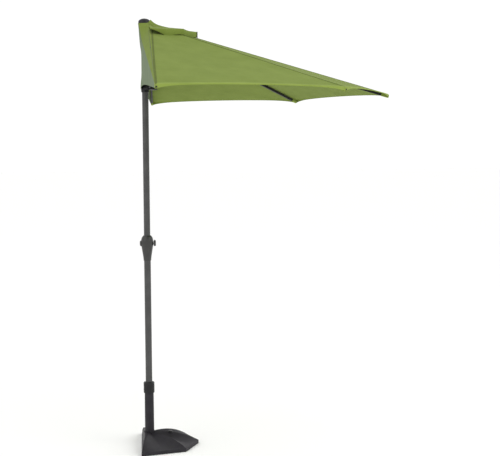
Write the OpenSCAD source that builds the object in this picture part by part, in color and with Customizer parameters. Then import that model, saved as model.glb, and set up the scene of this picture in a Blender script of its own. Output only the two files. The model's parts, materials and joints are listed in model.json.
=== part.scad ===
// Half parasol with a crank and a weighted half-octagon base, for use against a wall or a balcony rail.
// The origin is on the floor at the pole's axis. +X points away from the wall, Y runs along it, +Z is up.

/* [Base] */
// Distance from the pole's axis to the front corner of the base
base_reach = 281; // [235:1:340]
// Half the width of the base along the wall
base_half_width = 262; // [220:1:320]
// Distance from the pole's axis to the flat back of the base
base_back = 47; // [40:1:60]
// Height of the cover where the sleeve leaves it
base_height = 78; // [66:1:96]
// Height of the cover's rim
base_rim = 20; // [17:1:26]
// How far the top of the cover's back leans forward
back_draft = 14; // [8:1:16]
// Wall of the moulded cover
cover_wall = 3; // [2:0.5:4]
// Thickness of the rubber feet
foot_h = 2.5; // [2:0.5:5]
// Outer diameter of the sleeve that holds the pole
sleeve_d = 53; // [50:1:64]
// Height of the sleeve's top edge above the floor
sleeve_top = 304; // [250:1:365]

/* [Pole] */
// Outer diameter of the lower pole
lower_pole_d = 38; // [36:1:40]
// Outer diameter of the upper pole
upper_pole_d = 36; // [34:1:36]
// Wall of both poles
pole_wall = 1.5; // [1:0.1:2]
// Height of the hub's rib pivots above the floor
hub_z = 2378; // [2330:1:2850]

/* [Clamp collar] */
// Diameter of the clamp collar
collar_d = 62; // [58:1:74]
// Height of the clamp collar
collar_h = 64; // [54:1:77]

/* [Crank] */
// Height of the crank axle above the floor
crank_z = 1165; // [1000:1:1190]
// Widest diameter of the crank housing
housing_d = 70; // [66:1:84]
// Height of the crank housing
housing_h = 143; // [135:1:172]
// Diameter of the crank axle
axle_d = 8; // [7:0.5:10]
// Length of the crank arm from the axle to the grip's pin
arm_l = 111; // [95:1:133]
// Length of the folding grip
grip_l = 70; // [58:1:84]

/* [Canopy] */
// Distance from the hub's centre to the rib tips when open
canopy_reach = 1362; // [1135:1:1634]
// Slope of the open ribs below horizontal, in degrees
rib_pitch = 16.2; // [12:0.1:22]
// Slope of the closed ribs below horizontal, in degrees
rib_closed = 86; // [82:0.5:87]
// Distance from the pole's axis forward to the hub's centre
hub_offset = 24; // [22:1:30]
// Thickness of the canopy's solid
cloth_t = 1.6; // [1:0.1:3]
// Reach of the small vent canopy
vent_reach = 270; // [225:1:324]
// Height of the vent canopy's rim above the canopy
vent_rise = 30; // [24:1:40]

/* [Ribs and struts] */
// Width of a rib
rib_w = 10; // [8:1:12]
// Height of a rib
rib_h = 14; // [12:1:17]
// Wall of a rib
rib_wall = 1; // [0.8:0.1:1.5]
// Distance along the rib from the hub pivot to the strut joint
strut_at = 550; // [460:1:600]
// Distance from the rib's centre line down to the strut joint
strut_drop = 14; // [13:1:17]
// Width of a strut
strut_w = 8; // [7:1:9]
// Diameter of the pivot pins
pin_d = 4; // [3:0.5:5]

/* [Runner] */
// Height of the runner
runner_h = 48; // [40:1:58]

/* [Hidden] */
$fn = 64;

// Clearances
gap = 0.4;          // between a fixed piece and one that slides or turns in it
pin_gap = 0.08;     // radial running fit of a pivot pin
eps = 0.01;
big = 4000;

// Directions of the five ribs, from the near wall side round to the far wall side
RIB_AZ = [-89, -45.6, 0, 45.6, 89];
pivot_r = 34;       // hub's centre to the rib pivots
fabric_lift = 13;   // rib's centre line to the underside of the canopy

// The linkage: each rib and its strut make an isosceles triangle with the pole
link_l = norm([strut_at, strut_drop]);
link_off = atan(strut_drop / strut_at);
rib_l = (canopy_reach - pivot_r) / cos(rib_pitch);
runner_z = hub_z - 2 * link_l * sin(rib_pitch + link_off);
runner_closed_z = hub_z - 2 * link_l * sin(rib_closed + link_off);

lower_r = lower_pole_d / 2;
upper_r = upper_pole_d / 2;
pole_joint_z = crank_z - 25;
cap_rise = 34;
pole_top = hub_z + cap_rise;
insert_wall = 1.5;
insert_r = upper_r - pole_wall - 0.1;
insert_below = 75;
insert_above = 95;
axle_r = axle_d / 2;

// Base outline as polar corners about the pole: azimuth and distance
side_corner = [0.724 * base_reach, 0.714 * base_half_width];
BASE_OUT = [
    [-base_back, -base_half_width], [side_corner.x, -side_corner.y], [base_reach, 0],
    [side_corner.x, side_corner.y], [-base_back, base_half_width]
];
cover_bottom = 1.2;
sleeve_r = sleeve_d / 2;
sleeve_bottom = foot_h + 3;
flange_r = 39;
flange_h = 5;
pole_bottom = sleeve_bottom + 3 + gap;
flange_screw_r = 33;
screw_r = 3;

// Crank housing
housing_bottom = crank_z - 98;
housing_top = housing_bottom + housing_h;
housing_r = housing_d / 2;
housing_wall = 2.5;
boss_r = 17;
boss_x = housing_r + 7;
bush_r = axle_r + 3;
hub_x = housing_r + 2.2;
hub_w = 12;
hub_r = 16.5;
arm_x = hub_x + 6.3;
rail_t = 3;
grip_r = 6.2;
rail_z = grip_r + 0.6;
HOUSING_SCREWS = [[-25.5, crank_z + 20], [25.5, crank_z + 20], [-24, crank_z - 34], [24, crank_z - 34]];
post_r = 3.6;
spool_r = 11.5;
spool_l = 16;
spool_core_r = spool_r - 3;

// Hub and runner
hub_h = 16;
hub_rad = 46;
disc_back = 8;
slot_w = rib_w + 2.6;
runner_r = upper_r + 4.6;
runner_flange_r = 45;
runner_flange_h = 22;
liner_wall = 1.2;
cord_r = 1.75;
pulley_r = 9;
pulley_w = 7;
groove_depth = 2.5;
flange_t = 1.2;
cord_clear = 0.15;
cord_track = pulley_r - groove_depth + cord_r + cord_clear;
pulley_x = upper_r + 2.3;
pulley_z = hub_z - 30;

// ---------- helpers ----------

// Distance along azimuth a from the pole to the line through p and q
function ray(a, p, q) =
    let (d = q - p, n = [-d.y, d.x]) (n * p) / (n * [cos(a), sin(a)]);

// Azimuth of a plan point
function az(p) = atan2(p.y, p.x);

// Outward normal of edge i of the base outline, and its distance from the pole once drawn in by inset
function edge_n(i) = let (d = BASE_OUT[i + 1] - BASE_OUT[i]) [d.y, -d.x] / norm(d);
function edge_c(i, inset) = edge_n(i) * BASE_OUT[i] - inset;

// Point where two lines meet, each given by its normal and distance
function meet(n, c, m, e) = [c * m.y - e * n.y, n.x * e - m.x * c] / (n.x * m.y - m.x * n.y);

// The base outline drawn in by inset, square to every edge, and at the back by lean as well
function outline(inset, lean = 0) = [
    meet([-1, 0], base_back - inset - lean, edge_n(0), edge_c(0, inset)),
    for (i = [0:2]) meet(edge_n(i), edge_c(i, inset), edge_n(i + 1), edge_c(i + 1, inset)),
    meet(edge_n(3), edge_c(3, inset), [-1, 0], base_back - inset - lean)
];

// Which sector of the outline azimuth a lies in
function sector(a, edge) = max([for (k = [0:3]) if (a >= az(edge[k]) - eps) k]);

// Distance along azimuth a to the outline
function base_r(a, edge) =
    let (i = sector(a, edge))
    ray(a, edge[i], edge[i + 1]);

// 1 on a corner ridge of the base and 0 half way between two ridges
function ridge(a, edge) =
    let (i = sector(a, edge), t = (a - az(edge[i])) / (az(edge[i + 1]) - az(edge[i])))
    pow(abs(2 * t - 1), 1.6);

// Height of the cover at the share f of the way out along azimuth a
function cover_z(f, a, edge) =
    let (k = ridge(a, edge), high = 1 - pow(f, 2.1), low = pow(1 - f, 1.25))
    base_rim + (base_height - base_rim) * (k * high + (1 - k) * low);

// A dome over the base outline, drawn in by inset on its sides and its top
module base_dome(inset, bottom, cut) {
    per_sector = 8;
    across = 4 * per_sector;
    out = 9;
    edge = outline(inset);
    // every corner of the outline is one of the rays
    angles = [
        for (i = [0:across])
        let (k = min(floor(i / per_sector), 3))
        az(edge[k]) + (az(edge[k + 1]) - az(edge[k])) * (i / per_sector - k)
    ];
    rings = [
        for (j = [0:out])
        let (f = j / out)
        [for (a = angles)
            let (r = f * base_r(a, edge), z = cover_z(f, a, edge) - cut)
            [max(r * cos(a), -base_back + inset), r * sin(a), z]]
    ];
    // back edge points repeat the first and last rays, so the back face is flat
    n = across + 1;
    top = [for (j = [0:out]) each rings[j]];
    low = [for (p = rings[out]) [p.x, p.y, bottom]];
    back_low = [-base_back + inset, 0, bottom];
    back_top = [-base_back + inset + back_draft, 0, base_height - cut];
    pts = concat(top, low, [back_low, back_top]);
    nl = len(top);
    bl = nl + n;
    bt = bl + 1;
    faces = concat(
        [for (i = [0:across - 1]) [n + i, n + i + 1, 0]],
        [for (j = [1:out - 1], i = [0:across - 1])
            each [[j * n + i, (j + 1) * n + i, (j + 1) * n + i + 1],
                  [j * n + i, (j + 1) * n + i + 1, j * n + i + 1]]],
        [for (i = [0:across - 1])
            each [[out * n + i, nl + i, nl + i + 1], [out * n + i, nl + i + 1, out * n + i + 1]]],
        [for (i = [0:across - 1]) [nl + i + 1, nl + i, bl]],
        // top between the pole and the back edge
        [[0, bt, n], [0, 2 * n - 1, bt]],
        // back face, near half then far half
        [for (j = [1:out - 1]) [bt, (j + 1) * n, j * n]],
        [[bt, nl, out * n], [bt, bl, nl]],
        [for (j = [1:out - 1]) [bt, j * n + across, (j + 1) * n + across]],
        [[bt, out * n + across, nl + across], [bt, nl + across, bl]]
    );
    polyhedron(pts, [for (f = faces) [f[2], f[1], f[0]]], convexity = 6);
}

// Puts a piece drawn along +X on the rib at azimuth a, at the rib's pivot and slope
module on_rib(a) {
    translate([hub_offset, 0, hub_z]) rotate([0, 0, a]) translate([pivot_r, 0, 0])
        rotate([0, rib_pitch, 0]) children();
}

// A pin across a rib's plane, centred
module cross_pin(r, l) {
    rotate([90, 0, 0]) cylinder(r = r, h = l, center = true);
}

// Points on the underside of the canopy over rib a, at the share t of the way out
function seam(a, t, lift = 0) =
    let (r = 26 + (canopy_reach + 6 - 26) * t, z = hub_z - (r - pivot_r) * tan(rib_pitch) + fabric_lift + lift)
    [hub_offset + r * cos(a), r * sin(a), z];

// A thin closed sheet from a grid of points, thickened by t along a direction
module sheet(grid, dir) {
    m = len(grid);
    n = len(grid[0]);
    a = [for (row = grid) each row];
    b = [for (row = grid) each [for (p = row) p + dir]];
    k = m * n;
    polyhedron(concat(a, b), concat(
        [for (i = [0:m - 2], j = [0:n - 2])
            each [[i * n + j, (i + 1) * n + j, (i + 1) * n + j + 1], [i * n + j, (i + 1) * n + j + 1, i * n + j + 1]]],
        [for (i = [0:m - 2], j = [0:n - 2])
            each [[k + (i + 1) * n + j + 1, k + (i + 1) * n + j, k + i * n + j],
                  [k + i * n + j + 1, k + (i + 1) * n + j + 1, k + i * n + j]]],
        [for (i = [0:m - 2])
            each [[i * n, k + i * n, k + (i + 1) * n], [i * n, k + (i + 1) * n, (i + 1) * n]]],
        [for (i = [0:m - 2])
            each [[(i + 1) * n + n - 1, k + (i + 1) * n + n - 1, k + i * n + n - 1],
                  [(i + 1) * n + n - 1, k + i * n + n - 1, i * n + n - 1]]],
        [for (j = [0:n - 2])
            each [[j + 1, k + j + 1, k + j], [j + 1, k + j, j]]],
        [for (j = [0:n - 2])
            each [[(m - 1) * n + j, k + (m - 1) * n + j, k + (m - 1) * n + j + 1],
                  [(m - 1) * n + j, k + (m - 1) * n + j + 1, (m - 1) * n + j + 1]]]
    ), convexity = 4);
}

// ---------- base ----------

module base_cover() {
    color([0.20, 0.20, 0.21]) difference() {
        base_dome(0, cover_bottom, 0);
        translate([0, 0, -cover_wall]) base_dome(cover_wall, -cover_wall, 0);
        cylinder(r = sleeve_r + gap, h = big, center = true);
    }
}

module base_ballast() {
    clear = 3;
    color([0.62, 0.61, 0.58]) difference() {
        base_dome(cover_wall + clear, foot_h + 3 + eps, cover_wall + clear);
        cylinder(r = flange_r + 1, h = big, center = true);
    }
}

module base_plate() {
    side_gap = 0.6;
    lean = back_draft * (sleeve_bottom + 2 * cover_wall) / (base_height + cover_wall);
    color([0.16, 0.16, 0.16]) difference() {
        translate([0, 0, foot_h]) linear_extrude(sleeve_bottom - foot_h) polygon(outline(cover_wall + side_gap, lean));
        for (q = [45:90:315])
            rotate([0, 0, q]) translate([flange_screw_r, 0, 0]) cylinder(r = screw_r, h = 20);
    }
}

module base_feet() {
    foot_r = 12;
    inset = 30;
    color([0.08, 0.08, 0.08]) {
        cylinder(r = 26, h = foot_h);
        for (p = BASE_OUT)
            let (s = 1 - inset / norm(p))
            translate([max(p.x * s, -base_back + foot_r + 8), p.y * s, 0]) cylinder(r = foot_r, h = foot_h);
    }
}

module base_sleeve() {
    top_r = sleeve_r - 0.7;
    color([0.19, 0.19, 0.20]) difference() {
        rotate_extrude() polygon([
            [lower_r + gap, sleeve_bottom], [flange_r, sleeve_bottom], [flange_r, sleeve_bottom + flange_h],
            [sleeve_r, sleeve_bottom + flange_h], [sleeve_r, base_height], [top_r, sleeve_top],
            [lower_r + gap, sleeve_top]
        ]);
        for (q = [45:90:315])
            rotate([0, 0, q]) translate([flange_screw_r, 0, 0]) cylinder(r = screw_r, h = 60);
    }
}

module base_screws() {
    head_h = 3;
    color([0.45, 0.45, 0.46]) for (q = [45:90:315])
        rotate([0, 0, q]) translate([flange_screw_r, 0, 0]) {
            translate([0, 0, foot_h]) cylinder(r = screw_r, h = sleeve_bottom + flange_h - foot_h);
            translate([0, 0, sleeve_bottom + flange_h]) cylinder(r = screw_r * 1.8, h = head_h);
        }
}

collet_r = lower_r + 3.4;
collet_top = sleeve_top + collar_h * 0.62;

module clamp_collet() {
    slit = 2.5;
    color([0.12, 0.12, 0.12]) difference() {
        rotate_extrude() polygon([
            [lower_r + gap, sleeve_top], [collet_r, sleeve_top], [collet_r, sleeve_top + 18],
            [collet_r - 1.6, collet_top], [lower_r + gap, collet_top]
        ]);
        for (q = [0:60:300]) rotate([0, 0, q]) translate([lower_r - 1, -slit / 2, sleeve_top + 8])
            cube([10, slit, big]);
    }
}

module clamp_collar() {
    r = collar_d / 2;
    round_r = 6;
    flutes = 12;
    flute_r = 3;
    top = sleeve_top + collar_h;
    color([0.13, 0.13, 0.14]) difference() {
        rotate_extrude() polygon(concat(
            [[collet_r + gap, sleeve_top + gap], [r - 1.5, sleeve_top + gap], [r, sleeve_top + 3]],
            [for (q = [0:15:90]) [r - round_r + round_r * cos(q), top - round_r + round_r * sin(q)]],
            [[lower_r + gap, top], [lower_r + gap, collet_top + 2], [collet_r + gap, collet_top - 2]]
        ));
        for (i = [0:flutes - 1]) rotate([0, 0, (i + 0.5) * 360 / flutes])
            translate([r + flute_r * 0.45, 0, sleeve_top + 9]) cylinder(r = flute_r, h = collar_h - 20, $fn = 24);
    }
}

// ---------- mast ----------

module tube(r, wall, bottom, top) {
    rotate_extrude() polygon([[r - wall, bottom], [r, bottom], [r, top], [r - wall, top]]);
}

module lower_pole() {
    color([0.28, 0.28, 0.29]) tube(lower_r, pole_wall, pole_bottom, pole_joint_z);
}

module pole_foot() {
    plug_l = 22;
    color([0.08, 0.08, 0.08]) union() {
        translate([0, 0, pole_bottom - 3]) cylinder(r = lower_r, h = 3);
        translate([0, 0, pole_bottom]) cylinder(r = lower_r - pole_wall, h = plug_l);
    }
}

module axle_hole(r) {
    translate([0, 0, crank_z]) rotate([0, 90, 0]) cylinder(r = r, h = 200, center = true);
}

module upper_pole() {
    color([0.28, 0.28, 0.29]) difference() {
        tube(upper_r, pole_wall, pole_joint_z + 4, pole_top);
        axle_hole(axle_r + 1);
        // the cord leaves the tube through a slot under the pulley
        translate([0, -pulley_w / 2 - 1, pulley_z - 24]) cube([upper_r + 6, pulley_w + 2, 36]);
    }
}

module joint_insert() {
    color([0.6, 0.6, 0.62]) difference() {
        tube(insert_r, insert_wall, crank_z - insert_below, crank_z + insert_above);
        axle_hole(axle_r + 1);
    }
}

// Half profile of the egg-shaped housing, offset inwards by w
function housing_profile(w, skip = 0) = [
    for (i = [skip:16 - skip])
    let (
        t = i / 16,
        wide = pow(sin(180 * pow(t, 2.2)), 0.62),
        r = lower_r + 2.6 + (housing_r - lower_r - 2.6) * wide
    )
    [r - w, housing_bottom + housing_h * t]
];

// A disc with its far edge rounded
module domed_disc(r, h, round_r) {
    rotate_extrude() polygon(concat(
        [[0, 0], [r, 0]],
        [for (q = [0:15:90]) [r - round_r + round_r * cos(q), h - round_r + round_r * sin(q)]],
        [[0, h]]
    ));
}

// Half of the moulded shell with its screw posts and bearing boss, side -1 towards the wall and 1 away from it
module housing_half(side) {
    shelf = 3;
    inner = housing_profile(housing_wall, shelf);
    profile = concat(
        [[lower_r, housing_bottom]], housing_profile(0), [[upper_r, housing_top]],
        [[upper_r, inner[len(inner) - 1].y]],
        [for (i = [len(inner) - 1:-1:0]) inner[i]],
        [[lower_r, inner[0].y]]
    );
    boss_len = side < 0 ? boss_x : housing_r + 0.8;
    boss_out = side < 0 ? boss_r : bush_r + 4;
    color([0.22, 0.22, 0.21]) difference() {
        union() {
            rotate([0, 0, side < 0 ? 90 : -90]) rotate_extrude(angle = 180) polygon(profile);
            translate([side * (upper_r + 1), 0, crank_z]) rotate([0, side * 90, 0])
                domed_disc(boss_out, boss_len - upper_r - 1, side < 0 ? 9 : 1);
            for (s = HOUSING_SCREWS) translate([0, s.x, s.y]) rotate([0, side * 90, 0])
                cylinder(r = post_r, h = 12);
        }
        translate([side * (upper_r - 1), 0, crank_z]) rotate([0, side * 90, 0]) cylinder(r = bush_r, h = 17);
        if (side > 0) translate([0, 0, crank_z]) rotate([0, 90, 0]) cylinder(r = axle_r + gap, h = 100);
        for (s = HOUSING_SCREWS) translate([0, s.x, s.y]) rotate([0, 90, 0]) {
            translate([0, 0, -9]) cylinder(r = 1.6, h = 19);
            translate([0, 0, 9]) cylinder(r = 2.8, h = 60);
        }
    }
}

module housing_wall_half() {
    housing_half(-1);
}

module housing_room_half() {
    housing_half(1);
}

module housing_screws() {
    color([0.5, 0.5, 0.52]) for (s = HOUSING_SCREWS) translate([0, s.x, s.y]) rotate([0, 90, 0]) {
        translate([0, 0, -9]) cylinder(r = 1.6, h = 18);
        translate([0, 0, 9]) cylinder(r = 2.7, h = 2.4);
    }
}

module axle_bushes() {
    bush_l = 13;
    color([0.75, 0.6, 0.3]) for (side = [-1, 1])
        translate([side * (upper_r + 2.4), 0, crank_z]) rotate([0, side * 90, 0])
            difference() {
                cylinder(r = bush_r, h = bush_l);
                translate([0, 0, -1]) cylinder(r = axle_r + pin_gap, h = bush_l + 2);
            }
}

// Flat half disc around the hub's centre, with a ring round the pole and a slot for each rib
module slotted_disc(r, bottom, h, bore, slot_from) {
    difference() {
        translate([hub_offset, 0, bottom]) cylinder(r = r, h = h);
        translate([-big - disc_back, -big / 2, 0]) cube([big, big, big]);
        cylinder(r = bore, h = big);
        for (a = RIB_AZ) translate([hub_offset, 0, bottom - 1]) rotate([0, 0, a])
            translate([slot_from, -slot_w / 2, 0]) cube([big, slot_w, h + 2]);
    }
}

module top_hub() {
    ring_r = upper_r + 4;
    color([0.10, 0.10, 0.10]) difference() {
        union() {
            slotted_disc(hub_rad, hub_z - hub_h / 2, hub_h, upper_r, pivot_r - rib_h / 2 - 3);
            difference() {
                translate([0, 0, hub_z - 16]) cylinder(r = ring_r, h = 32);
                cylinder(r = upper_r, h = big);
                // clear of the wall ribs' roots
                for (a = RIB_AZ) translate([hub_offset, 0, 0]) rotate([0, 0, a])
                    translate([pivot_r - rib_h / 2 - 3, -slot_w / 2, 0]) cube([big, slot_w, big]);
            }
            // two cheeks carry the cord pulley below the disc
            for (s = [-1, 1]) translate([upper_r + 1, s > 0 ? pulley_w / 2 + 0.6 : -pulley_w / 2 - 3.6, pulley_z - 9])
                cube([16, 3, hub_z - hub_h / 2 - pulley_z + 10]);
        }
        for (a = RIB_AZ) translate([hub_offset, 0, hub_z]) rotate([0, 0, a]) translate([pivot_r, 0, 0])
            cross_pin(pin_d / 2, 22);
        translate([pulley_x, 0, pulley_z]) cross_pin(pin_d / 2, 40);
        translate([upper_r + 0.5, -pulley_w / 2 - 0.6, pulley_z - 14]) cube([22, pulley_w + 1.2, 28]);
    }
}

module hub_pins() {
    color([0.7, 0.7, 0.72]) {
        for (a = RIB_AZ) translate([hub_offset, 0, hub_z]) rotate([0, 0, a]) translate([pivot_r, 0, 0])
            cross_pin(pin_d / 2, 22);
        translate([pulley_x, 0, pulley_z]) cross_pin(pin_d / 2, pulley_w + 7);
    }
}

module finial_cap() {
    cap_r = 34;
    skin = 3;
    skirt_z = pole_top - 7;
    edge_z = skirt_z + 8;
    dome_h = 19;
    plug_l = 12;
    roof_z = pole_top + 3;
    plug_r = upper_r - pole_wall - 0.1;
    color([0.07, 0.07, 0.07]) rotate_extrude() polygon(concat(
        [[0, pole_top - plug_l], [plug_r, pole_top - plug_l], [plug_r, roof_z], [cap_r - skin, roof_z]],
        [[cap_r - skin, skirt_z], [cap_r, skirt_z]],
        [for (q = [0:9:90]) [cap_r * cos(q), edge_z + dome_h * sin(q)]]
    ));
}

// A straight round rod from point p to point q
module rod(p, q, r) {
    d = q - p;
    translate(p) rotate([0, acos(d.z / norm(d)), atan2(d.y, d.x)]) cylinder(r = r, h = norm(d));
}

module lift_cord_inside() {
    color([0.75, 0.75, 0.72]) rod(
        [0, spool_core_r + cord_r + cord_clear, crank_z],
        [pulley_x - cord_track, 0, pulley_z],
        cord_r
    );
}

// ---------- crank ----------

module crank_axle() {
    wall_end = upper_r + 15;
    color([0.6, 0.6, 0.62]) translate([-wall_end, 0, crank_z]) rotate([0, 90, 0])
        cylinder(r = axle_r, h = wall_end + hub_x + hub_w - 3);
}

module winding_spool() {
    side_t = 2;
    color([0.15, 0.15, 0.15]) translate([0, 0, crank_z]) rotate([0, 90, 0]) difference() {
        union() {
            cylinder(r = spool_core_r, h = spool_l, center = true);
            for (s = [-1, 1]) translate([0, 0, s * (spool_l - side_t) / 2])
                cylinder(r = spool_r, h = side_t, center = true);
        }
        cylinder(r = axle_r, h = spool_l + 2, center = true);
    }
}

module crank_arm() {
    end_y = arm_l + 7;
    color([0.17, 0.17, 0.17]) translate([0, 0, crank_z]) difference() {
        union() {
            translate([hub_x, 0, 0]) rotate([0, 90, 0]) domed_disc(hub_r, hub_w, 4);
            for (s = [-1, 1]) translate([hub_x + 1, 0, s > 0 ? rail_z : -rail_z - rail_t])
                cube([hub_w - 2, end_y, rail_t]);
            translate([hub_x + 1, 0, -rail_z]) cube([hub_w - 2, arm_l - grip_l - grip_r - 4, 2 * rail_z]);
        }
        translate([hub_x - 1, 0, 0]) rotate([0, 90, 0]) cylinder(r = axle_r, h = hub_w - 2);
        translate([arm_x, arm_l, 0]) cylinder(r = pin_d / 2, h = 60, center = true);
    }
}

module crank_grip() {
    root = 2 * grip_r - 1.6;
    color([0.12, 0.12, 0.12]) translate([arm_x, arm_l, crank_z]) difference() {
        union() {
            translate([0, -root / 2, 0]) rotate([90, 0, 0]) cylinder(r = grip_r, h = grip_l - root / 2);
            translate([-root / 2, -root / 2 - 1, -root / 2]) cube([root, root, root]);
        }
        cylinder(r = pin_d / 2 + pin_gap, h = 60, center = true);
    }
}

module grip_pin() {
    color([0.7, 0.7, 0.72]) translate([arm_x, arm_l, crank_z])
        cylinder(r = pin_d / 2, h = 2 * (rail_z + rail_t), center = true);
}

module cord_pulley() {
    floor_r = pulley_r - groove_depth;
    color([0.2, 0.2, 0.2]) translate([pulley_x, 0, pulley_z]) rotate([90, 0, 0])
        translate([0, 0, -pulley_w / 2]) rotate_extrude() polygon([
            [pin_d / 2 + pin_gap, 0], [pulley_r, 0], [floor_r, flange_t], [floor_r, pulley_w - flange_t],
            [pulley_r, pulley_w], [pin_d / 2 + pin_gap, pulley_w]
        ]);
}

// ---------- runner ----------

runner_bottom = runner_z - runner_h / 2;

module runner() {
    bore = upper_r + gap + liner_wall;
    color([0.09, 0.09, 0.09]) difference() {
        union() {
            slotted_disc(runner_flange_r, runner_z - runner_flange_h / 2, runner_flange_h, bore, pivot_r - 8);
            difference() {
                translate([0, 0, runner_bottom]) cylinder(r = runner_r, h = runner_h);
                translate([0, 0, runner_bottom - 1]) cylinder(r = bore, h = runner_h + 2);
                for (a = RIB_AZ) translate([hub_offset, 0, 0]) rotate([0, 0, a])
                    translate([pivot_r - 8, -slot_w / 2, 0]) cube([big, slot_w, big]);
            }
        }
        cylinder(r = bore, h = big);
    }
}

module runner_liner() {
    color([0.8, 0.8, 0.78]) tube(upper_r + gap + liner_wall, liner_wall, runner_bottom, runner_bottom + runner_h);
}

module lift_cord_outside() {
    x = pulley_x + cord_track;
    color([0.75, 0.75, 0.72]) rod([x, 0, runner_z + runner_flange_h / 2 + gap], [x, 0, pulley_z], cord_r);
}

// ---------- ribs, struts ----------

module rib(a) {
    root = rib_h / 2;
    color([0.20, 0.20, 0.20]) on_rib(a) difference() {
        union() {
            translate([root + 6, -rib_w / 2, -rib_h / 2]) cube([rib_l - root - 8, rib_w, rib_h]);
            translate([0, -rib_w / 2, -rib_h / 2]) cube([root + 6, rib_w, rib_h]);
            cross_pin(root, rib_w);
        }
        translate([root + 8, -rib_w / 2 + rib_wall, -rib_h / 2 + rib_wall])
            cube([big, rib_w - 2 * rib_wall, rib_h - 2 * rib_wall]);
        cross_pin(pin_d / 2 + pin_gap, 40);
    }
}

module rib_tip(a) {
    plug_l = 20;
    nose = 9;
    color([0.06, 0.06, 0.06]) on_rib(a) translate([rib_l - 2, 0, 0]) {
        translate([-plug_l, -rib_w / 2 + rib_wall, -rib_h / 2 + rib_wall])
            cube([plug_l, rib_w - 2 * rib_wall, rib_h - 2 * rib_wall]);
        translate([0, -rib_w / 2 - 0.5, -rib_h / 2 - 0.5]) cube([nose - 3, rib_w + 1, rib_h + 1]);
        translate([nose - 3, -rib_w / 2 + 1, -rib_h / 2 + 1]) cube([3, rib_w - 2, rib_h - 2]);
    }
}

module rib_bracket(a) {
    cheek = 2;
    half_l = 13;
    color([0.25, 0.25, 0.25]) on_rib(a) translate([strut_at, 0, 0]) {
        for (s = [-1, 1]) translate([0, s > 0 ? rib_w / 2 : -rib_w / 2 - cheek, 0]) {
            translate([-half_l, 0, -rib_h / 2 - 1]) cube([2 * half_l, cheek, rib_h]);
            translate([0, cheek / 2, -strut_drop]) cross_pin(6, cheek);
            translate([-6, 0, -strut_drop]) cube([12, cheek, strut_drop]);
        }
        translate([0, 0, -strut_drop]) cross_pin(pin_d / 2, rib_w + 2 * cheek);
    }
}

// A strut is drawn from its joint on the rib, pointing back down to the runner
module strut(a) {
    bar_h = 9;
    end_r = 4.5;
    stub = 1.6;
    color([0.22, 0.22, 0.22]) on_rib(a) translate([strut_at, 0, -strut_drop])
        rotate([0, -rib_pitch - (rib_pitch + link_off), 0]) mirror([1, 0, 0]) difference() {
            union() {
                translate([0, -strut_w / 2, -bar_h / 2]) cube([link_l, strut_w, bar_h]);
                cross_pin(bar_h / 2, strut_w);
                translate([link_l, 0, 0]) cross_pin(end_r, strut_w);
                translate([link_l, 0, 0]) cross_pin(pin_d / 2, strut_w + 2 * stub);
            }
            cross_pin(pin_d / 2 + pin_gap, 40);
            translate([12, -strut_w / 2 + rib_wall, -bar_h / 2 + rib_wall])
                cube([link_l - 24, strut_w - 2 * rib_wall, bar_h - 2 * rib_wall]);
        }
}

// ---------- canopy ----------

// A gore between rib i and rib i + 1, with a hem that arches up a little between the tips
module gore(i, t1, rise, arch) {
    steps = 12;
    across = 8;
    grid = [
        for (u = [0:steps])
        let (t = t1 * u / steps, lift = rise == 0 ? 0 : cloth_t + 2 + (rise - cloth_t - 2) * u / steps,
            p = seam(RIB_AZ[i], t, lift), q = seam(RIB_AZ[i + 1], t, lift))
        [for (v = [0:across])
            let (s = v / across)
            p + (q - p) * s + [0, 0, arch * 4 * s * (1 - s) * u / steps]]
    ];
    sheet(grid, [0, 0, cloth_t]);
}

module canopy_panel(i) {
    color([0.51, 0.58, 0.32]) gore(i, 1, 0, 12);
}

module vent_panel(i) {
    color([0.49, 0.56, 0.30]) gore(i, vent_reach / canopy_reach, vent_rise, 6);
}

// The wall side: an upright panel from the wall rib's tip to the pole, behind it
module back_panel(side) {
    steps = 12;
    clear = 5;
    tip_back = 6;
    fold_x = -upper_r - clear;
    back_x = -runner_r - clear;
    under_cap = 12;
    fold_z = pole_top - under_cap;
    hem_z = runner_z - 12;
    tip = seam(side * 89, 1);
    fold = [for (u = [0:steps]) let (t = u / steps)
        [fold_x + (tip.x - tip_back - fold_x) * t, side * (eps + (abs(tip.y) - eps) * t),
         fold_z + (tip.z - 2 - fold_z) * t]];
    low = [for (u = [0:steps]) let (t = u / steps)
        [back_x + (tip.x - tip_back - back_x) * t, side * (eps + (abs(tip.y) - eps) * t),
         hem_z + (tip.z - 12 - hem_z) * t]];
    color([0.50, 0.55, 0.40]) sheet(side < 0 ? [fold, low] : [low, fold], [-cloth_t, 0, 0]);
}

base_cover();
base_ballast();
base_plate();
base_feet();
base_sleeve();
base_screws();
clamp_collet();
clamp_collar();
lower_pole();
pole_foot();
upper_pole();
joint_insert();
housing_wall_half();
housing_room_half();
housing_screws();
axle_bushes();
top_hub();
hub_pins();
finial_cap();
lift_cord_inside();
crank_axle();
winding_spool();
crank_arm();
crank_grip();
grip_pin();
cord_pulley();
runner();
runner_liner();
lift_cord_outside();
rib(RIB_AZ[0]);  // rib_1
rib(RIB_AZ[1]);  // rib_2
rib(RIB_AZ[2]);  // rib_3
rib(RIB_AZ[3]);  // rib_4
rib(RIB_AZ[4]);  // rib_5
rib_tip(RIB_AZ[0]);  // rib_tip_1
rib_tip(RIB_AZ[1]);  // rib_tip_2
rib_tip(RIB_AZ[2]);  // rib_tip_3
rib_tip(RIB_AZ[3]);  // rib_tip_4
rib_tip(RIB_AZ[4]);  // rib_tip_5
rib_bracket(RIB_AZ[0]);  // rib_bracket_1
rib_bracket(RIB_AZ[1]);  // rib_bracket_2
rib_bracket(RIB_AZ[2]);  // rib_bracket_3
rib_bracket(RIB_AZ[3]);  // rib_bracket_4
rib_bracket(RIB_AZ[4]);  // rib_bracket_5
strut(RIB_AZ[0]);  // strut_1
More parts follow.
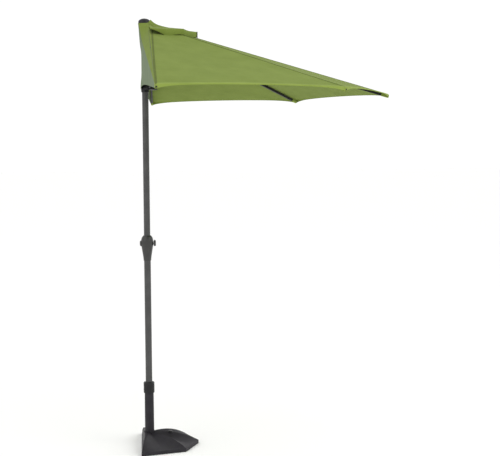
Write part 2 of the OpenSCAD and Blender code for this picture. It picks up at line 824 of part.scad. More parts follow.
strut(RIB_AZ[1]);  // strut_2
strut(RIB_AZ[2]);  // strut_3
strut(RIB_AZ[3]);  // strut_4
strut(RIB_AZ[4]);  // strut_5
canopy_panel(0);  // canopy_panel_1
canopy_panel(1);  // canopy_panel_2
canopy_panel(2);  // canopy_panel_3
canopy_panel(3);  // canopy_panel_4
back_panel(-1);  // back_panel_near
back_panel(1);  // back_panel_far
vent_panel(0);  // vent_panel_1
vent_panel(1);  // vent_panel_2
vent_panel(2);  // vent_panel_3
vent_panel(3);  // vent_panel_4
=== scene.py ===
# %% [markdown]
# # A half parasol with its base
# The frame comes first. It holds the tubes, hinges and ribs at their true sizes, in metres, with the origin on the
# floor at the pole's axis. +X points away from the wall and Y runs along it. Everything else is placed from it.

# %% Load the frame
import json
import math
import bmesh
import bpy
from mathutils import Matrix, Vector


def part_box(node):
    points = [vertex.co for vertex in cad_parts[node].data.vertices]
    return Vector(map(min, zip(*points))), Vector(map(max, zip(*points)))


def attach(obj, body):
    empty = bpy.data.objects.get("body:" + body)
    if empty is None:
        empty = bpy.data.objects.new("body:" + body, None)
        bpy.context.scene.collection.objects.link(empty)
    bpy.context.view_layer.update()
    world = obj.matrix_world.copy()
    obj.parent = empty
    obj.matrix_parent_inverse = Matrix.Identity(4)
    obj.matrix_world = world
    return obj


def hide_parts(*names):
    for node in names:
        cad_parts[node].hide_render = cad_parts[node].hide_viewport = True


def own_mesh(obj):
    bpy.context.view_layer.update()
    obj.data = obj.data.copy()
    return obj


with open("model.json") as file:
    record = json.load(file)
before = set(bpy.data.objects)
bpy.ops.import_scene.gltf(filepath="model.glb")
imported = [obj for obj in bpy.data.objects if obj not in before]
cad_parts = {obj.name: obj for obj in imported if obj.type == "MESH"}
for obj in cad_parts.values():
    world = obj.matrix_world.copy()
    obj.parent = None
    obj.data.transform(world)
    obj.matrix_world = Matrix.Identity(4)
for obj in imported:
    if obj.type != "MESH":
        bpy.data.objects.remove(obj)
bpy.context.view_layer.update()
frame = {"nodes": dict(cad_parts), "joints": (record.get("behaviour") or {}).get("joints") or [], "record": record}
nodes = frame["nodes"]

# %% [markdown]
# The camera stands well back with a long lens, about as high as a person's eyes, and looks slightly down. A long
# lens keeps the tall pole from leaning. The three turns are yaw, pitch and roll, in
# degrees.

# %% Camera
def camera_matrix(place, yaw, pitch, roll):
    yaw, pitch, roll = (math.radians(v) for v in (yaw, pitch, roll))
    look = Vector((math.sin(yaw) * math.cos(pitch), math.cos(yaw) * math.cos(pitch), -math.sin(pitch)))
    side = Vector((math.cos(yaw), -math.sin(yaw), 0))
    up = side.cross(look)
    across = math.cos(roll) * side + math.sin(roll) * up
    above = -math.sin(roll) * side + math.cos(roll) * up
    m = Matrix((across, above, -look)).transposed().to_4x4()
    m.translation = Vector(place)
    return m


eye_place = (-0.0109, -6.833, 1.7565)
eye_yaw, eye_pitch, eye_roll = 5.01, 4.27, -0.39
lens = bpy.data.cameras.new("eye_level_lens")
lens.lens = 86.4
lens.sensor_width = 36
lens.clip_end = 100
camera = bpy.data.objects.new("eye_level_camera", lens)
camera.matrix_world = camera_matrix(eye_place, eye_yaw, eye_pitch, eye_roll)
bpy.context.collection.objects.link(camera)
bpy.context.scene.camera = camera
bpy.context.scene.view_settings.view_transform = "Standard"
print("camera", lens.lens, "mm")

# %% [markdown]
# Colours are written as the hex values a painter would pick on a screen. Blender wants them linear, so one function
# turns them. A second function adds a node, sets it up and links it.

# %% Colour and node helpers
def linear(hex_colour):
    parts = [int(hex_colour[i:i + 2], 16) / 255 for i in (1, 3, 5)]
    return tuple(c / 12.92 if c <= 0.04045 else ((c + 0.055) / 1.055) ** 2.4 for c in parts) + (1,)


def add(tree, kind, settings=None, links=None):
    node = tree.nodes.new(kind)
    for key, value in (settings or {}).items():
        if key in node.inputs:
            node.inputs[key].default_value = value
        else:
            setattr(node, key, value)
    for key, source in (links or {}).items():
        tree.links.new(source, node.inputs[key])
    return node


def new_material(name):
    material = bpy.data.materials.new(name)
    material.use_nodes = True
    material.node_tree.nodes.clear()
    return material, material.node_tree


def finish_shader(tree, shader):
    add(tree, "ShaderNodeOutputMaterial", links={"Surface": shader.outputs[0]})


# %% [markdown]
# Most hard parts are moulded or painted. Their surface is never one flat value: a mould leaves a fine grain, paint
# leaves orange peel, and handling changes the gloss. One recipe builds all of them, and each finish gives its own
# colours, grain size and gloss.

# %% Hard finishes
def hard_finish(name, low, high, rough, grain_mm, grain_depth_mm, wear_mm=60.0, metal=0.0, shine=0.5):
    material, tree = new_material(name)
    place = add(tree, "ShaderNodeTexCoord").outputs["Object"]
    wear = add(tree, "ShaderNodeTexNoise", {"Scale": 1000 / wear_mm, "Detail": 4.0, "Roughness": 0.55},
               {"Vector": place})
    grain = add(tree, "ShaderNodeTexNoise", {"Scale": 1000 / grain_mm, "Detail": 2.0, "Roughness": 0.6},
                {"Vector": place})
    colour = add(tree, "ShaderNodeValToRGB", links={"Fac": wear.outputs["Fac"]})
    colour.color_ramp.elements[0].position, colour.color_ramp.elements[1].position = 0.35, 0.68
    colour.color_ramp.elements[0].color, colour.color_ramp.elements[1].color = linear(low), linear(high)
    gloss = add(tree, "ShaderNodeMapRange",
                {"To Min": rough[0], "To Max": rough[1]}, {"Value": wear.outputs["Fac"]})
    bump = add(tree, "ShaderNodeBump", {"Strength": 0.5, "Distance": grain_depth_mm / 1000},
               {"Height": grain.outputs["Fac"]})
    shader = add(tree, "ShaderNodeBsdfPrincipled", {"Metallic": metal, "Specular IOR Level": shine},
                 {"Base Color": colour.outputs["Color"], "Roughness": gloss.outputs["Result"],
                  "Normal": bump.outputs["Normal"]})
    finish_shader(tree, shader)
    return material


# powder coat is sprayed as dust and baked, which leaves a satin orange peel about 2 mm across
powder_coated_pole = hard_finish("powder_coated_pole", "#3f3f3f", "#4a4a4a", (0.36, 0.46), 2.2, 0.06,
                                  shine=0.35)
powder_coated_ribs = hard_finish("powder_coated_ribs", "#1d1d1e", "#262627", (0.42, 0.52), 2.0, 0.06,
                                  shine=0.25)
# polypropylene from a spark-eroded mould is dull, with a fine grain of under a millimetre, drawn here at 1.6 mm
grained_polypropylene = hard_finish("grained_polypropylene", "#1f1d22", "#2a282d", (0.48, 0.60), 1.6, 0.16,
                                      shine=0.25)
# ABS from a polished mould is smoother and keeps long soft highlights
smooth_abs = hard_finish("smooth_abs", "#2f2f2e", "#383837", (0.24, 0.34), 1.2, 0.03, shine=0.4)
# nylon for the moving parts is black, slightly waxy and fine grained
black_nylon = hard_finish("black_nylon", "#0c0b0e", "#141316", (0.34, 0.46), 1.4, 0.07, shine=0.35)
moulded_rubber = hard_finish("moulded_rubber", "#121212", "#1b1b1b", (0.75, 0.88), 1.8, 0.12)
cast_concrete = hard_finish("cast_concrete", "#8b8983", "#a3a19a", (0.85, 0.95), 3.5, 0.6, 25)
zinc_plated_steel = hard_finish("zinc_plated_steel", "#9b9c9e", "#b3b4b6", (0.28, 0.42), 0.9, 0.02, 12, metal=1.0)
sintered_bronze = hard_finish("sintered_bronze", "#8a6a34", "#a5824a", (0.40, 0.55), 0.8, 0.05, 10, metal=1.0)
print("hard finishes ready")

# %% [markdown]
# The canopy is polyester yarn in a plain weave, dyed olive green. The yarns are about half a millimetre apart, too
# fine to show from across a patio, so the weave is drawn four times coarser. It follows the cloth's own UV map,
# whose unit is a metre. A slow variation in tone stands for dye and for light through the cloth.

# %% Woven cloth
def woven_cloth(name, low, high, yarn_mm=2.0, depth_mm=0.18, pucker_mm=1.6):
    material, tree = new_material(name)
    place = add(tree, "ShaderNodeTexCoord")
    cloth_uv, spot = place.outputs["UV"], place.outputs["Object"]
    yarns = []
    for direction in ("X", "Y"):
        yarns.append(add(tree, "ShaderNodeTexWave",
                         {"Scale": 1000 / yarn_mm / 20, "Distortion": 0.6, "Detail": 1.0,
                          "bands_direction": direction}, {"Vector": cloth_uv}).outputs["Fac"])
    weave = add(tree, "ShaderNodeMath", {"operation": "MULTIPLY"}, {0: yarns[0], 1: yarns[1]})
    slub = add(tree, "ShaderNodeTexNoise", {"Scale": 9.0, "Detail": 5.0, "Roughness": 0.6}, {"Vector": spot})
    pucker = add(tree, "ShaderNodeTexNoise", {"Scale": 22.0, "Detail": 2.0, "Roughness": 0.45}, {"Vector": spot})
    colour = add(tree, "ShaderNodeValToRGB", links={"Fac": slub.outputs["Fac"]})
    colour.color_ramp.elements[0].position, colour.color_ramp.elements[1].position = 0.30, 0.72
    colour.color_ramp.elements[0].color, colour.color_ramp.elements[1].color = linear(low), linear(high)
    fine = add(tree, "ShaderNodeBump", {"Strength": 0.35, "Distance": depth_mm / 1000},
               {"Height": weave.outputs["Value"]})
    broad = add(tree, "ShaderNodeBump", {"Strength": 0.5, "Distance": pucker_mm / 1000},
                {"Height": pucker.outputs["Fac"], "Normal": fine.outputs["Normal"]})
    shader = add(tree, "ShaderNodeBsdfPrincipled",
                 {"Roughness": 0.88, "Specular IOR Level": 0.1, "Sheen Weight": 0.02, "Sheen Roughness": 0.5},
                 {"Base Color": colour.outputs["Color"], "Normal": broad.outputs["Normal"]})
    finish_shader(tree, shader)
    return material


olive_polyester = woven_cloth("olive_polyester", "#6e7e37", "#77873f")
olive_edge_binding = woven_cloth("olive_edge_binding", "#7b8c3f", "#869748", 1.6)
# the seam's darker green is painted shade of the crease along each rib
olive_seam_painted_crease_shade = woven_cloth("olive_seam_painted_crease_shade", "#535f28", "#5e6b2f", 1.6)
# the upright panels are the same olive cloth; this greyer copy of it is painted sheen of light glancing along the
# hanging panel
olive_cloth_painted_sheen = woven_cloth("olive_cloth_painted_sheen", "#65735a", "#707d62")
braided_cord = woven_cloth("braided_cord", "#b9b8b0", "#cbcac2", 1.0, 0.4, 0.2)
print("cloth finishes ready")

# %% [markdown]
# Tubes, pins and moulded parts keep their CAD shape and only change material, so each node is matched to the
# finish of its material slot.

# %% Finish the CAD nodes
FINISH = {
    "base_plastic": grained_polypropylene, "ballast": cast_concrete, "rubber": moulded_rubber,
    "steel_fastener": zinc_plated_steel, "collar_plastic": black_nylon, "pole_paint": powder_coated_pole,
    "steel_tube": zinc_plated_steel, "housing_plastic": smooth_abs, "black_plastic": black_nylon,
    "bush": sintered_bronze, "cord": braided_cord, "rib_paint": powder_coated_ribs,
    "canopy_cloth": olive_polyester,
}
SLOT_OF = {s["node"]: s["material_slot"] for s in frame["record"]["subparts"]}
for name, thing in nodes.items():
    thing.data.materials.clear()
    thing.data.materials.append(FINISH[SLOT_OF[name]])
print("finished", len(SLOT_OF), "CAD nodes")

# %% [markdown]
# New pieces start in bmesh. Each is built in place, in metres, and then made into an object with a finish, a body
# to ride on and a material slot. Normals are made to face out before any wall gets its thickness.

# %% Piece helper
def make_piece(name, mesh_edit, material, body, crease=38):
    bmesh.ops.recalc_face_normals(mesh_edit, faces=mesh_edit.faces)
    mesh = bpy.data.meshes.new(name)
    mesh_edit.to_mesh(mesh)
    mesh_edit.free()
    mesh.materials.append(material)
    mesh.shade_smooth()
    mesh.set_sharp_from_angle(angle=math.radians(crease))
    piece = bpy.data.objects.new(name, mesh)
    bpy.context.collection.objects.link(piece)
    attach(piece, body)
    return piece


def patch(across, along, place):
    """A grid from (0, 0) to (1, 1) whose points are moved to place(u, v), with a UV map in metres."""
    edit = bmesh.new()
    bmesh.ops.create_grid(edit, x_segments=across, y_segments=along, size=0.5)
    spots = {v: (v.co.x + 0.5, v.co.y + 0.5) for v in edit.verts}
    layer = edit.loops.layers.uv.new("cloth")
    width = (place(1, 1) - place(0, 1)).length
    length = (place(0.5, 1) - place(0.5, 0)).length
    for face in edit.faces:
        for loop in face.loops:
            u, v = spots[loop.vert]
            loop[layer].uv = ((u - 0.5) * width * v, v * length)
    for vert, (u, v) in spots.items():
        vert.co = place(u, v)
    return edit


def make_cloth(edit, thickness):
    """Gives a sheet its thickness as a closed shell with crisp edges, and returns the sheet's area before that."""
    area = sum(f.calc_area() for f in edit.faces)
    bmesh.ops.solidify(edit, geom=edit.faces[:], thickness=thickness)
    return area


# %% [markdown]
# The ribs carry the cloth. Their pivots sit on a half ring in front of the pole, so the canopy's centre is a little
# forward of it. The pivots, slope and reach are read back from the joints and the ribs' own boxes.

# %% Frame sizes
joint = {j["name"]: j for j in frame["joints"]}
RIBS = 5
wall_ribs = (0, RIBS - 1)
rib_pivot = [Vector(joint["rib_%d_fold" % k]["pos_m"]) for k in range(1, RIBS + 1)]
rib_axis = [Vector(joint["rib_%d_fold" % k]["axis"]).normalized() for k in range(1, RIBS + 1)]
outward_dir = [Vector((a.y, -a.x, 0)) for a in rib_axis]
pivot_radius = 0.034
hub_centre = rib_pivot[2] - outward_dir[2] * pivot_radius
hub_z = hub_centre.z
tip_low, tip_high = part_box("rib_tip_3")
tip_middle = (tip_low + tip_high) / 2
slope = (hub_z - tip_middle.z) / (tip_middle.x - rib_pivot[2].x)
rib_tilt = math.atan(slope)
cloth_lift = 0.0132
hem_radius = tip_high.x - hub_centre.x - 0.004
print("hub", tuple(round(c, 3) for c in hub_centre), "hem radius", round(hem_radius, 3))

# %% [markdown]
# Over a rib the cloth is a straight line from the hub to the tip. Between two ribs it is pulled flat, dips a little
# in the middle and its hem rises a few millimetres between the tips, as a stretched sheet does.

# %% Cloth surface
inner_radius = 0.030
gore_dip = 0.007
hem_rise = 0.009


def over_rib(k, t, lift=0.0):
    radius = inner_radius + (hem_radius - inner_radius) * t
    spot = hub_centre + outward_dir[k] * radius
    spot.z = hub_z - (radius - pivot_radius) * slope + cloth_lift + lift
    return spot


def between(k, n, w, t, lift=0.0):
    """A point on the cloth from rib k towards its neighbour n, w of the way across and t of the way out."""
    a, b = over_rib(k, t, lift), over_rib(n, t, lift)
    spot = a.lerp(b, w)
    belly = 4 * w * (1 - w)
    spot.z += hem_rise * belly * t ** 3 - gore_dip * belly * math.sin(math.pi * t) ** 2
    return spot


def cloth_point(k, s, t, lift=0.0):
    """s runs from -1 at the middle of the gore before rib k, through 0 on the rib, to 1 at the middle of the next."""
    if s < 0 and k > 0:
        return between(k, k - 1, -s / 2, t, lift)
    if s > 0 and k < RIBS - 1:
        return between(k, k + 1, s / 2, t, lift)
    return over_rib(k, t, lift)


def side_range(k):
    return (0 if k == 0 else -1, 0 if k == RIBS - 1 else 1)


# %% [markdown]
# The canopy looks like one stretched sheet. It is divided at the middle of each gore, where the edges of two lengths
# lie on the same line, so that each length follows its own rib as the frame folds.

# %% Canopy cloth
cloth_thickness = 0.0012


def follow_rib(piece):
    """Gives the piece its own copy of its mesh."""
    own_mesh(piece)


for k in range(RIBS):
    low, high = side_range(k)
    edit = patch(28 * (high - low), 48, lambda u, v: cloth_point(k, low + (high - low) * u, v))
    flat_area = make_cloth(edit, cloth_thickness)
    piece = make_piece("canopy_cloth_%d" % (k + 1), edit, olive_polyester, "rib_%d" % (k + 1))
    width = (cloth_point(k, high, 1) - cloth_point(k, low, 1)).length
    if k < RIBS - 1:
        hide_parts("canopy_panel_%d" % (k + 1))
    follow_rib(piece)
    print(piece.name, "area", round(flat_area, 3), "width", round(width, 3))

# %% [markdown]
# A folded hem runs round the edge, and a flat felled seam lies over each rib. Both are an extra layer of cloth, just
# over a millimetre proud. The hem is a paler green than the canopy, so it shows as a line. The seam is a darker
# green, which is painted shade of the crease along its rib, and shows as a dark line.

# %% Hems and seams
hem_width = 0.020
seam_half = 0.0051
hem_start = 1 - hem_width / hem_radius
hem_roll, tip_fold, tip_fold_run = 0.004, 0.015, 0.060
flat_rows, rolled_rows = 0.7, 0.3
hem_reach = 1.0008
hem_lift, seam_lift, wall_seam_lift = 0.0012, 0.0014, 0.0016
seam_shift = 0.017
seam_edge_drop = 0.0012
extra_layer = 0.0010


def hem_point(k, s, v):
    """The hem lies on the cloth, rolls over the edge and hangs lower where it wraps a rib's tip."""
    on_cloth = min(v / flat_rows, 1)
    spot = cloth_point(k, s, hem_start + (hem_reach - hem_start) * on_cloth, hem_lift)
    if v > flat_rows:
        away = (spot - cloth_point(k, 0, 1)).length
        fall = (v - flat_rows) / rolled_rows
        spot.z -= fall * (hem_roll + tip_fold * math.exp(-away / tip_fold_run))
        spot += outward_dir[k] * 0.0016 * math.sin(math.pi * fall / 2)
    return spot


def seam_point(k, t):
    """A seam lies on its rib, but the two beside the wall are sewn a little forward of it near the hub."""
    if k not in wall_ribs:
        return over_rib(k, t, seam_lift)
    half_gore = (cloth_point(k, 1 if k == 0 else -1, t) - over_rib(k, t)).length
    s = min(seam_shift * (1 - t) ** 1.4 / half_gore, 0.6)
    return cloth_point(k, s if k == 0 else -s, t, wall_seam_lift)


def seam_strip(k, u, v):
    """The seam's width is laid across its rib, and its two edges turn down a little."""
    edge = Vector((0, 0, -seam_edge_drop * abs(2 * u - 1) ** 3))
    return seam_point(k, 0.02 + 0.975 * v) + rib_axis[k] * (u - 0.5) * 2 * seam_half + edge


for k in range(RIBS):
    low, high = side_range(k)
    edit = patch(40 * (high - low), 10, lambda u, v: hem_point(k, low + (high - low) * u, v))
    area = make_cloth(edit, extra_layer)
    hem = make_piece("hem_%d" % (k + 1), edit, olive_edge_binding, "rib_%d" % (k + 1), crease=60)
    hem_length = (cloth_point(k, high, 1) - cloth_point(k, low, 1)).length
    follow_rib(hem)
    edit = patch(4, 60, lambda u, v: seam_strip(k, u, v))
    area = make_cloth(edit, extra_layer)
    # the seam is drawn in the darker green, painted shade of the crease along its rib
    seam = make_piece("rib_seam_%d" % (k + 1), edit, olive_seam_painted_crease_shade, "rib_%d" % (k + 1))
print("hem width", hem_width, "seam width", 2 * seam_half)

# %% [markdown]
# On the wall side the cloth turns over the wall rib in a narrow strip and folds down into an upright panel, which
# hides the hub. Beside the pole, strip and panel gather in a hood that reaches up to the cap.

# %% Wall strip and upright panels
pole_gap = 0.0196
fold_below_hub, hem_above_runner = 0.058, 0.008
behind_rib, fold_end_drop, hem_end_drop = 0.006, 0.002, 0.016
runner_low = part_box("runner")[0].z
cap_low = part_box("finial_cap")[0].z
cap_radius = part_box("finial_cap")[1].x + 0.0015
hem_arch = 0.030
hood_run = 0.075
hood_start = math.radians(48)
hood_puff, hood_tuck = 0.012, 0.004
strip_sag, panel_sag = 0.006, 0.003
bulge_depth = 0.0065


def smooth_fall(x):
    """1 at 0, easing to 0 at 1."""
    x = min(max(x, 0), 1)
    return 1 - x * x * (3 - 2 * x)


def hood_ring(side, u):
    """The gathered edge under the cap, from the front of the pole at 0 round to its wall side at 1."""
    turn = side * (hood_start + (math.pi - hood_start) * u)
    return Vector((cap_radius * math.cos(turn), cap_radius * math.sin(turn), cap_low + hood_tuck))


def pole_bulge(u):
    """How far the panel stands off towards the wall beside the pole, from its fold at 0 to its hem at 1."""
    return bulge_depth * math.exp(-((u - 0.12) / 0.09) ** 2) + bulge_depth / (1 + math.exp(-(u - 0.80) / 0.05))


for word, k, side, panel_name in (("near", 0, -1, "back_panel_near"), ("far", RIBS - 1, 1, "back_panel_far")):
    rib_end = over_rib(k, 1)
    fold_hub = Vector((-pole_gap, 0, hub_z - fold_below_hub))
    fold_end = rib_end + Vector((-behind_rib, 0, -fold_end_drop))
    hem_hub = Vector((-pole_gap, 0, runner_low + hem_above_runner))
    hem_end = rib_end + Vector((-behind_rib, 0, -hem_end_drop))

    def strip_at(u, v):
        spot = over_rib(k, v).lerp(fold_hub.lerp(fold_end, v), u)
        spot.x -= strip_sag * math.sin(math.pi * u) * (1 - v) ** 3
        gather = smooth_fall(v / hood_run)
        spot = spot.lerp(hood_ring(side, u), gather)
        spot.z += hood_puff * math.sin(math.pi * gather)
        return spot

    def panel_at(u, v):
        spot = fold_hub.lerp(fold_end, v).lerp(hem_hub.lerp(hem_end, v), u)
        spot.x -= pole_bulge(u) * (1 - v) ** 6 + panel_sag * math.sin(math.pi * u) * math.sin(math.pi * v)
        spot.z += hem_arch * u ** 3 * math.sin(math.pi * v ** 0.45)
        gather = smooth_fall(v / hood_run)
        edge_share = smooth_fall(u / 0.2)
        spot = spot.lerp(hood_ring(side, 1), gather * edge_share)
        spot.z += hood_puff * math.sin(math.pi * gather) * edge_share
        return spot

    edit = patch(24, 96, strip_at)
    area = make_cloth(edit, cloth_thickness)
    strip = make_piece("wall_strip_" + word, edit, olive_polyester, "rib_%d" % (k + 1))
    edit = patch(40, 96, panel_at)
    area = make_cloth(edit, cloth_thickness)
    # the panel takes the greyer copy of the olive cloth, painted sheen of glancing light
    panel = make_piece("upright_panel_" + word, edit, olive_cloth_painted_sheen, "rib_%d" % (k + 1))
    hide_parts(panel_name)
    for piece in (strip, panel):
        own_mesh(piece)

# %% [markdown]
# The vent is a small second canopy over the hub. It lets wind out, so it stands a few centimetres clear of the main
# cloth, and its loose edge hangs down in a short wavy drop with dark gaps under it.

# %% Vent
vent_radius = 0.270
vent_drop = 0.031
vent_rows = 0.80
vent_rise, vent_slope = 0.012, 0.12
crown_rise, crown_run = 0.052, 0.035
vent_dip, ruffle = 0.005, 0.004


def vent_inner(k):
    """Distance from the hub's centre at which the cloth stands against the cap on the pole."""
    way = outward_dir[k]
    return -hub_centre.x * way.x + math.sqrt(cap_radius ** 2 - (hub_centre.x * way.y) ** 2)


def vent_ridge(k, out):
    """The vent falls evenly over a rib and rises in a small crown where it meets the cap."""
    radius = vent_inner(k) + (vent_radius - vent_inner(k)) * out
    spot = hub_centre + outward_dir[k] * radius
    spot.z = hub_z + vent_rise - vent_slope * radius + crown_rise * math.exp(-radius / crown_run)
    return spot


def vent_point(k, s, v):
    """The vent's cloth, with its loose edge in the last rows. The edge hangs least at the wall."""
    out, n = min(v / vent_rows, 1), min(max(k + (1 if s > 0 else -1), 0), RIBS - 1)
    w = abs(s) / 2
    spot = vent_ridge(k, out).lerp(vent_ridge(n, out), w)
    spot.z -= vent_dip * 4 * w * (1 - w) * out ** 2
    spot.z += ruffle * math.sin(5 * math.pi * (k + s / 2)) * math.sin(math.pi * min(out * 1.6, 1))
    if v > vent_rows:
        fall = (v - vent_rows) / (1 - vent_rows)
        if k in wall_ribs or n in wall_ribs:
            from_wall = w if k in wall_ribs else 1 - w
            wave = 0.10 * math.sin(3 * math.pi * from_wall)
        else:
            from_wall, wave = 1, 0.05
        hang = min(0.2 + 1.6 * from_wall, 1)
        spot.z -= fall * vent_drop * (hang - wave)
        spot += (spot - hub_centre).normalized() * 0.002 * math.sin(math.pi * fall)
    return spot


for k in range(RIBS):
    low, high = side_range(k)
    edit = patch(24 * (high - low), 40, lambda u, v: vent_point(k, low + (high - low) * u, v))
    area = make_cloth(edit, cloth_thickness)
    piece = make_piece("vent_cloth_%d" % (k + 1), edit, olive_polyester, "rib_%d" % (k + 1),
                       crease=50)
    width = (vent_point(k, high, vent_rows) - vent_point(k, low, vent_rows)).length
    if k < RIBS - 1:
        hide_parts("vent_panel_%d" % (k + 1))
    follow_rib(piece)
print("vent pieces", RIBS)

# %% [markdown]
# A small black bevelled block stands at the vent's front corner, over the front rib. It is painted shade: it darkens
# the vent's drop edge there, which stands in shadow.

# %% Painted shade at the vent's front corner
shade_block_thick, shade_block_width = 0.0045, 0.014
front = RIBS // 2
edit = bmesh.new()
bmesh.ops.create_cube(edit, size=1)
bmesh.ops.scale(edit, vec=(shade_block_thick, shade_block_width, vent_drop + 0.004), verts=edit.verts)
bmesh.ops.bevel(edit, geom=edit.edges[:], offset=0.0014, offset_type="OFFSET", segments=2, profile=0.5,
                affect="EDGES", material=-1)
corner = vent_ridge(front, 1) - Vector((0, 0, vent_drop / 2 + 0.001)) + outward_dir[front] * 0.002
bmesh.ops.transform(edit, matrix=Matrix.Translation(corner), verts=edit.verts)
# painted shade: a black block over the shadowed drop edge at the vent's front corner
make_piece("vent_corner_shade_block", edit, black_nylon, "rib_%d" % (front + 1))
print("vent corner shade block on rib", front + 1)

# %% [markdown]
# Each rib ends in a small sewn pocket under the hem. It is a bevelled sleeve of doubled cloth, closed round the
# rib's nose, so it starts from a cube that is stretched along the rib.

# %% Tip pockets
pocket_length, pocket_width, pocket_depth = 0.046, 0.0155, 0.0195
for k in range(RIBS):
    edit = bmesh.new()
    bmesh.ops.create_cube(edit, size=1)
    bmesh.ops.scale(edit, vec=(pocket_length, pocket_width, pocket_depth), verts=edit.verts)
    bmesh.ops.bevel(edit, geom=edit.edges[:], offset=0.004, offset_type="OFFSET", segments=4, profile=0.5,
                    affect="EDGES", material=-1)
    end = over_rib(k, 1) - Vector((0, 0, 0.0115))
    lie = Matrix((outward_dir[k], rib_axis[k], Vector((0, 0, 1)))).transposed().to_4x4()
    tilt = Matrix.Rotation(rib_tilt, 4, "Y")
    bmesh.ops.transform(edit, matrix=Matrix.Translation(end) @ lie @ tilt @
                        Matrix.Translation((-pocket_length / 2 + 0.002, 0, 0)), verts=edit.verts)
    make_piece("tip_pocket_%d" % (k + 1), edit, olive_edge_binding, "rib_%d" % (k + 1))
print("tip pockets", RIBS)

# %% [markdown]
# The base cover is a moulded shell. Its ridges run from the sleeve to the corners and the faces between them sink,
# which stiffens a thin wall. A grid is wrapped round the pole in rings and lifted to that shape, so the ridges and
# the rounded rim are much finer than in the frame.

# %% Base cover
base_low, base_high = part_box("base_cover")
back_x, corner_y, front_x, top_z = base_low.x, base_high.y, base_high.x, base_high.z
side_corner = Vector((0.724 * front_x, 0.714 * corner_y))
OUTLINE = [Vector((back_x, -corner_y)), Vector((side_corner.x, -side_corner.y)), Vector((front_x, 0)),
           side_corner, Vector((back_x, corner_y))]
CORNER_AZ = [math.atan2(p.y, p.x) for p in OUTLINE]
rim_z, rim_round, cover_foot = 0.020, 0.004, 0.0012
sleeve_radius = 0.0269
back_draft = 0.0192
cover_wall = 0.003
ridge_power, ridge_fall, face_fall = 1.6, 2.7, 1.25
top_rows, rim_rows, side_start, side_rows = 0.86, 0.08, 0.94, 0.06


def sector(azimuth):
    """Which stretch of the outline lies in this direction, or None on the flat back."""
    if azimuth > CORNER_AZ[4]:
        return None
    return max([i for i in range(4) if azimuth >= CORNER_AZ[i] - 1e-6], default=None)


def outline_radius(azimuth):
    way = Vector((math.cos(azimuth), math.sin(azimuth)))
    i = sector(azimuth)
    if i is None:
        return back_x / way.x
    p, d = OUTLINE[i], OUTLINE[i + 1] - OUTLINE[i]
    n = Vector((-d.y, d.x))
    return n.dot(p) / n.dot(way)


def cover_height(azimuth, share):
    """Height of the top face in one direction, at a share of the way from the axis to the rim."""
    i = sector(azimuth)
    rise = top_z - rim_z
    if i is None:
        y = abs(outline_radius(azimuth) * share * math.sin(azimuth)) / corner_y
        return rim_z + rise * (1 - y ** ridge_fall)
    t = (azimuth - CORNER_AZ[i]) / (CORNER_AZ[i + 1] - CORNER_AZ[i])
    ridge = abs(2 * t - 1) ** ridge_power
    return rim_z + rise * (ridge * (1 - share ** ridge_fall) + (1 - ridge) * (1 - share) ** face_fall)


def cover_point(u, v):
    """Goes round with u and out with v: over the top, round the rim, then down the side to the foot."""
    azimuth = -math.pi + 2 * math.pi * u
    full = outline_radius(azimuth)
    start = sleeve_radius / full
    if v < top_rows:
        share = start + (1 - rim_round / full - start) * (v / top_rows)
        z = cover_height(azimuth, share)
    else:
        turn = min((v - top_rows) / rim_rows, 1)
        share = 1 - rim_round / full * (1 - math.sin(turn * math.pi / 2))
        crest = cover_height(azimuth, 1 - rim_round / full)
        z = crest - rim_round * (1 - math.cos(turn * math.pi / 2))
        if v > side_start:
            z += (cover_foot - z) * (v - side_start) / side_rows
    x, y = full * share * math.cos(azimuth), full * share * math.sin(azimuth)
    leaning_back = back_x + back_draft * (z - cover_foot) / (top_z - cover_foot)
    return Vector((max(x, leaning_back), y, z))


edit = patch(220, 50, cover_point)
bmesh.ops.remove_doubles(edit, verts=edit.verts, dist=0.00002)
cover = make_piece("moulded_base_cover", edit, grained_polypropylene, "base", crease=24)
if max(cover.data.polygons, key=lambda f: f.center.z).normal.z < 0:
    cover.data.flip_normals()
wall = cover.modifiers.new("moulded_wall", "SOLIDIFY")
wall.thickness, wall.offset = cover_wall, -1.0
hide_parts("base_cover")
print("base cover", len(cover.data.polygons), "faces")

# %% [markdown]
# A screw-in plug closes the filling hole on the front ridge. It is a low bevelled disc with a slot for a coin.

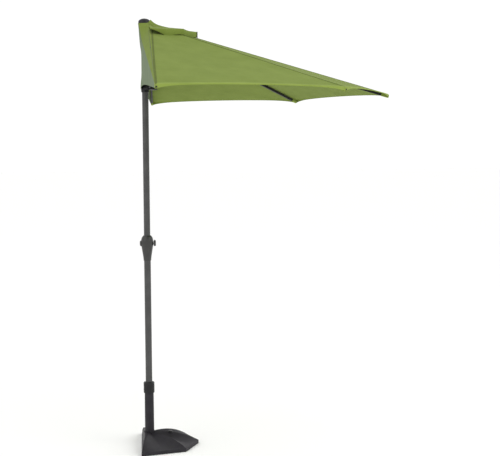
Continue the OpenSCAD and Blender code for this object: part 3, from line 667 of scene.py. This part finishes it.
# %% Filling plug
plug_x = 0.119
plug_z = cover_height(0, plug_x / front_x)
edit = bmesh.new()
bmesh.ops.create_cone(edit, cap_ends=True, segments=48, radius1=0.0125, radius2=0.0115, depth=0.010)
bmesh.ops.bevel(edit, geom=[e for e in edit.edges if all(v.co.z > 0 for v in e.verts)], offset=0.0018,
                offset_type="OFFSET", segments=4, profile=0.5, affect="EDGES", material=-1)
bmesh.ops.transform(edit, matrix=Matrix.Translation((plug_x, 0, plug_z + 0.003)) @ Matrix.Rotation(0.12, 4, "Y"),
                    verts=edit.verts)
make_piece("filling_plug", edit, black_nylon, "base")
print("plug height", round(plug_z, 3))

# %% [markdown]
# The stage is a plain pale floor under a bright even sky, with a large soft lamp on the right and a weaker one on the
# left, as in a product studio. The big lamps keep shadows soft.

# %% Floor and light
def plain_floor():
    edit = bmesh.new()
    bmesh.ops.create_grid(edit, x_segments=1, y_segments=1, size=60)
    mesh = bpy.data.meshes.new("studio_floor")
    edit.to_mesh(mesh)
    edit.free()
    material, tree = new_material("pale_floor")
    shader = add(tree, "ShaderNodeBsdfPrincipled", {"Base Color": linear("#fbfbfa"), "Roughness": 0.9})
    finish_shader(tree, shader)
    mesh.materials.append(material)
    floor = bpy.data.objects.new("studio_floor", mesh)
    bpy.context.collection.objects.link(floor)


def soft_lamp(name, place, aim, size, power):
    light = bpy.data.lights.new(name, "AREA")
    light.size, light.energy = size, power
    lamp = bpy.data.objects.new(name, light)
    lamp.location = place
    lamp.rotation_euler = (Vector(aim) - Vector(place)).to_track_quat("-Z", "Y").to_euler()
    bpy.context.collection.objects.link(lamp)


plain_floor()
soft_lamp("left_softbox", (-4.2, -3.6, 3.6), (0.3, 0, 1.2), 3.0, 30)
soft_lamp("right_softbox", (4.6, -3.4, 5.0), (0.5, 0, 1.2), 4.0, 110)
sky = bpy.data.worlds.new("studio_sky")
sky.use_nodes = True
sky.node_tree.nodes["Background"].inputs["Color"].default_value = (1, 1, 1, 1)
sky.node_tree.nodes["Background"].inputs["Strength"].default_value = 1.04
bpy.context.scene.world = sky
print("stage ready")
